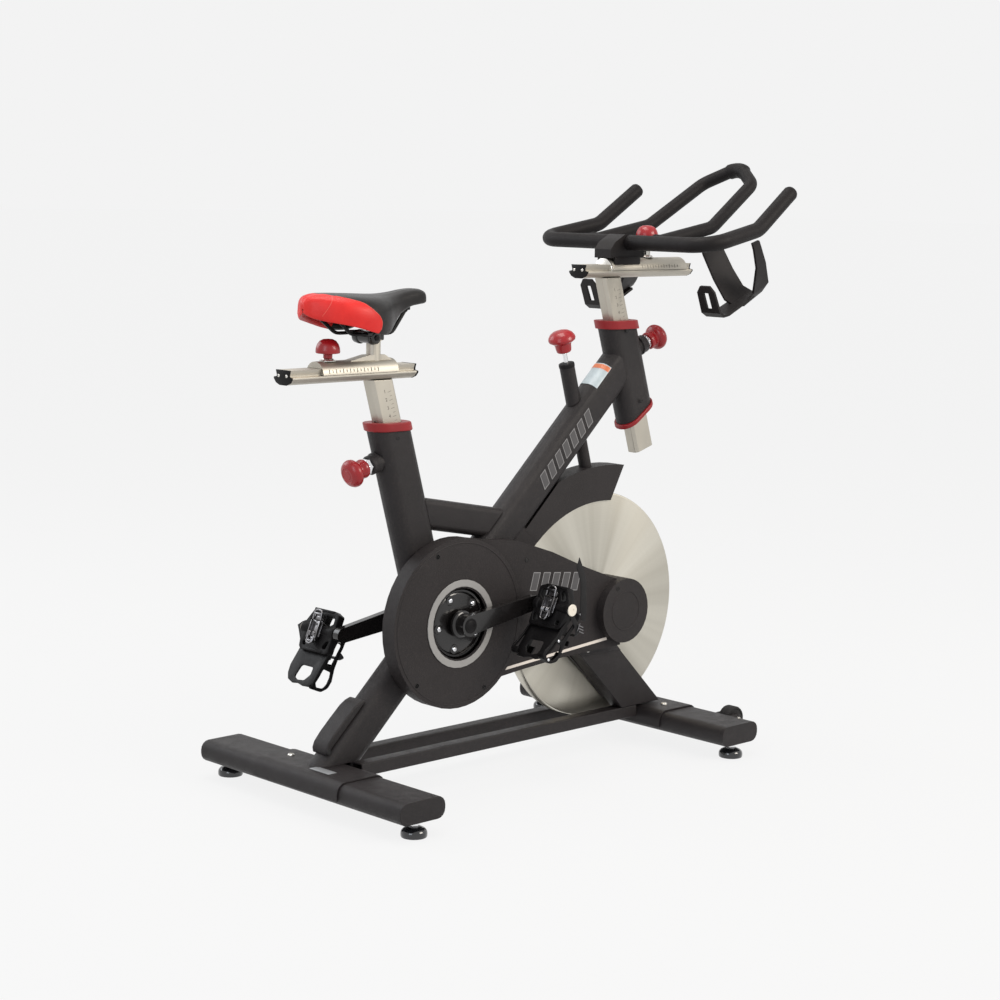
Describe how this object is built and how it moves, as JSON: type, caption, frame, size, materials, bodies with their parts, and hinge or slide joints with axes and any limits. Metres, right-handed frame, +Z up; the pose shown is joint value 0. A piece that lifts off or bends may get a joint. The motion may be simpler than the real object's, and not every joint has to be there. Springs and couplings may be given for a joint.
{
  "type": "exercise bike",
  "caption": "Indoor cycling bike with flywheel and belt guard, sliding saddle and handlebar posts, toe-cage pedals, red knobs and levelling feet.",
  "frame": {"origin": "on the floor under the middle of the bike's bounding box", "axes": "+X to the front of the bike, +Y to the rider's left, +Z up"},
  "size_m": [1.203, 0.571, 1.1631],
  "materials": {
    "powder_coat": "satin charcoal powder coat",
    "matte_plastic": "matte charcoal moulding",
    "silver_trim": "silver trim ring",
    "rubber": "black rubber",
    "red_plastic": "semi-gloss red",
    "gloss_black": "gloss black",
    "black_plastic": "black moulding",
    "pulley_alloy": "black anodised",
    "steel": "brushed steel",
    "chrome": "bright chrome",
    "aluminium": "satin aluminium extrusion",
    "grip_coating": "dark brown-black soft coating over tube",
    "red_vinyl": "red and black saddle cover"
  },
  "bodies": {
    "frame": {"rear_stabilizer": "powder_coat", "front_stabilizer": "powder_coat", "rear_sleeve": "powder_coat", "front_sleeve": "powder_coat", "base_rail_right": "powder_coat", "base_rail_left": "powder_coat", "main_tube": "powder_coat", "rear_gusset": "powder_coat", "seat_tube": "powder_coat", "head_tube": "powder_coat", "bridge_tube": "powder_coat", "fork_leg_right": "powder_coat", "fork_leg_left": "powder_coat", "fork_plate_right": "powder_coat", "fork_plate_left": "powder_coat", "bottom_bracket_shell": "powder_coat", "belt_guard_outer": "matte_plastic", "belt_guard_inner": "matte_plastic", "guard_ring": "silver_trim", "drive_belt": "rubber", "flywheel_shroud": "matte_plastic", "brake_tube_upper": "powder_coat", "seat_tube_collar": "red_plastic", "head_collar_top": "red_plastic", "head_collar_bottom": "red_plastic"},
    "crankset": {"crank_axle": "steel", "crank_pulley": "pulley_alloy", "crank_right": "gloss_black", "crank_left": "gloss_black"},
    "pedal_r": {"pedal_right": "black_plastic", "toe_cage_right": "black_plastic"},
    "pedal_l": {"pedal_left": "black_plastic", "toe_cage_left": "black_plastic"},
    "flywheel_set": {"flywheel": "steel", "flywheel_axle": "steel"},
    "seat_mast": {"seat_post": "aluminium", "seat_rail": "aluminium"},
    "seat_slider": {"seat_carriage": "aluminium"},
    "saddle_set": {"saddle_clamp": "gloss_black", "saddle_rails": "chrome", "saddle": "red_vinyl"},
    "seat_lock": {"seat_clamp_knob": "red_plastic"},
    "bar_mast": {"bar_post": "aluminium", "bar_rail": "aluminium"},
    "bar_slider": {"bar_carriage": "aluminium", "handlebar_stem": "gloss_black", "handlebar": "grip_coating", "bottle_cage_right": "gloss_black", "bottle_cage_left": "gloss_black"},
    "bar_lock": {"bar_clamp_knob": "red_plastic"},
    "seat_pin": {"seat_pin_knob": "red_plastic"},
    "bar_pin": {"bar_pin_knob": "red_plastic"},
    "brake_push": {"brake_rod": "chrome"},
    "brake_dial": {"brake_knob": "red_plastic"},
    "foot_rr": {"foot_rear_right": "black_plastic"},
    "foot_rl": {"foot_rear_left": "black_plastic"},
    "foot_fr": {"foot_front_right": "black_plastic"},
    "foot_fl": {"foot_front_left": "black_plastic"},
    "roller_r": {"transport_wheel_right": "rubber"},
    "roller_l": {"transport_wheel_left": "rubber"}
  },
  "joints": [
    {"name": "flywheel_spin", "type": "hinge", "parent": "frame", "child": "flywheel_set", "pos_m": [0.17245, 0, 0.287], "axis": [0, 1, 0], "continuous": true},
    {"name": "crank_spin", "type": "hinge", "parent": "frame", "child": "crankset", "pos_m": [-0.23455, 0, 0.306], "axis": [0, 1, 0], "continuous": true},
    {"name": "pedal_right_spin", "type": "hinge", "parent": "crankset", "child": "pedal_r", "pos_m": [-0.06616, -0.135, 0.32937], "axis": [0, 1, 0], "continuous": true},
    {"name": "pedal_left_spin", "type": "hinge", "parent": "crankset", "child": "pedal_l", "pos_m": [-0.40294, 0.135, 0.28263], "axis": [0, 1, 0], "continuous": true},
    {"name": "seat_height", "type": "slide", "parent": "frame", "child": "seat_mast", "axis": [-0.2759, 0, 0.9612], "range_m": [-0.055, 0.13]},
    {"name": "seat_fore_aft", "type": "slide", "parent": "seat_mast", "child": "seat_slider", "axis": [1, 0, 0], "range_m": [-0.05, 0.03]},
    {"name": "saddle_tilt", "type": "hinge", "parent": "seat_slider", "child": "saddle_set", "pos_m": [-0.39955, 0, 0.843], "axis": [0, 1, 0], "range_deg": [-7, 7]},
    {"name": "seat_clamp_turn", "type": "hinge", "parent": "seat_slider", "child": "seat_lock", "pos_m": [-0.50455, 0, 0.82], "axis": [0, 0, 1], "range_deg": [-180, 180]},
    {"name": "bar_height", "type": "slide", "parent": "frame", "child": "bar_mast", "axis": [-0.297, 0, 0.9549], "range_m": [-0.06, 0.14]},
    {"name": "bar_fore_aft", "type": "slide", "parent": "bar_mast", "child": "bar_slider", "axis": [1, 0, 0], "range_m": [-0.04, 0.02]},
    {"name": "bar_clamp_turn", "type": "hinge", "parent": "bar_slider", "child": "bar_lock", "pos_m": [0.31545, 0, 1.01], "axis": [0, 0, 1], "range_deg": [-180, 180]},
    {"name": "seat_pin_pull", "type": "slide", "parent": "frame", "child": "seat_pin", "axis": [-0.9611, 0, -0.276], "range_m": [0, 0.01], "stiffness_N_per_m": 900, "springref_m": -0.004},
    {"name": "bar_pin_pull", "type": "slide", "parent": "frame", "child": "bar_pin", "axis": [0.9549, 0, 0.297], "range_m": [0, 0.01], "stiffness_N_per_m": 900, "springref_m": -0.004},
    {"name": "brake_press", "type": "slide", "parent": "frame", "child": "brake_push", "axis": [-0.2759, 0, 0.9612], "range_m": [-0.0035, 0], "stiffness_N_per_m": 2500, "springref_m": 0.006},
    {"name": "resistance_turn", "type": "hinge", "parent": "brake_push", "child": "brake_dial", "pos_m": [0.08518, 0, 0.8], "axis": [-0.2759, 0, 0.9612], "range_deg": [-360, 360]},
    {"name": "foot_rr_turn", "type": "hinge", "parent": "frame", "child": "foot_rr", "pos_m": [-0.52155, -0.262, 0.012], "axis": [0, 0, 1], "range_deg": [-360, 360]},
    {"name": "foot_rl_turn", "type": "hinge", "parent": "frame", "child": "foot_rl", "pos_m": [-0.52155, 0.262, 0.012], "axis": [0, 0, 1], "range_deg": [-360, 360]},
    {"name": "foot_fr_turn", "type": "hinge", "parent": "frame", "child": "foot_fr", "pos_m": [0.31345, -0.262, 0.012], "axis": [0, 0, 1], "range_deg": [-360, 360]},
    {"name": "foot_fl_turn", "type": "hinge", "parent": "frame", "child": "foot_fl", "pos_m": [0.31345, 0.262, 0.012], "axis": [0, 0, 1], "range_deg": [-360, 360]},
    {"name": "roller_r_spin", "type": "hinge", "parent": "frame", "child": "roller_r", "pos_m": [0.39345, -0.192, 0.052], "axis": [0, 1, 0], "continuous": true},
    {"name": "roller_l_spin", "type": "hinge", "parent": "frame", "child": "roller_l", "pos_m": [0.39345, 0.192, 0.052], "axis": [0, 1, 0], "continuous": true}
  ],
  "couplings": [
    {"joint": "crank_spin", "follows": "flywheel_spin", "ratio": 0.2522}
  ]
}
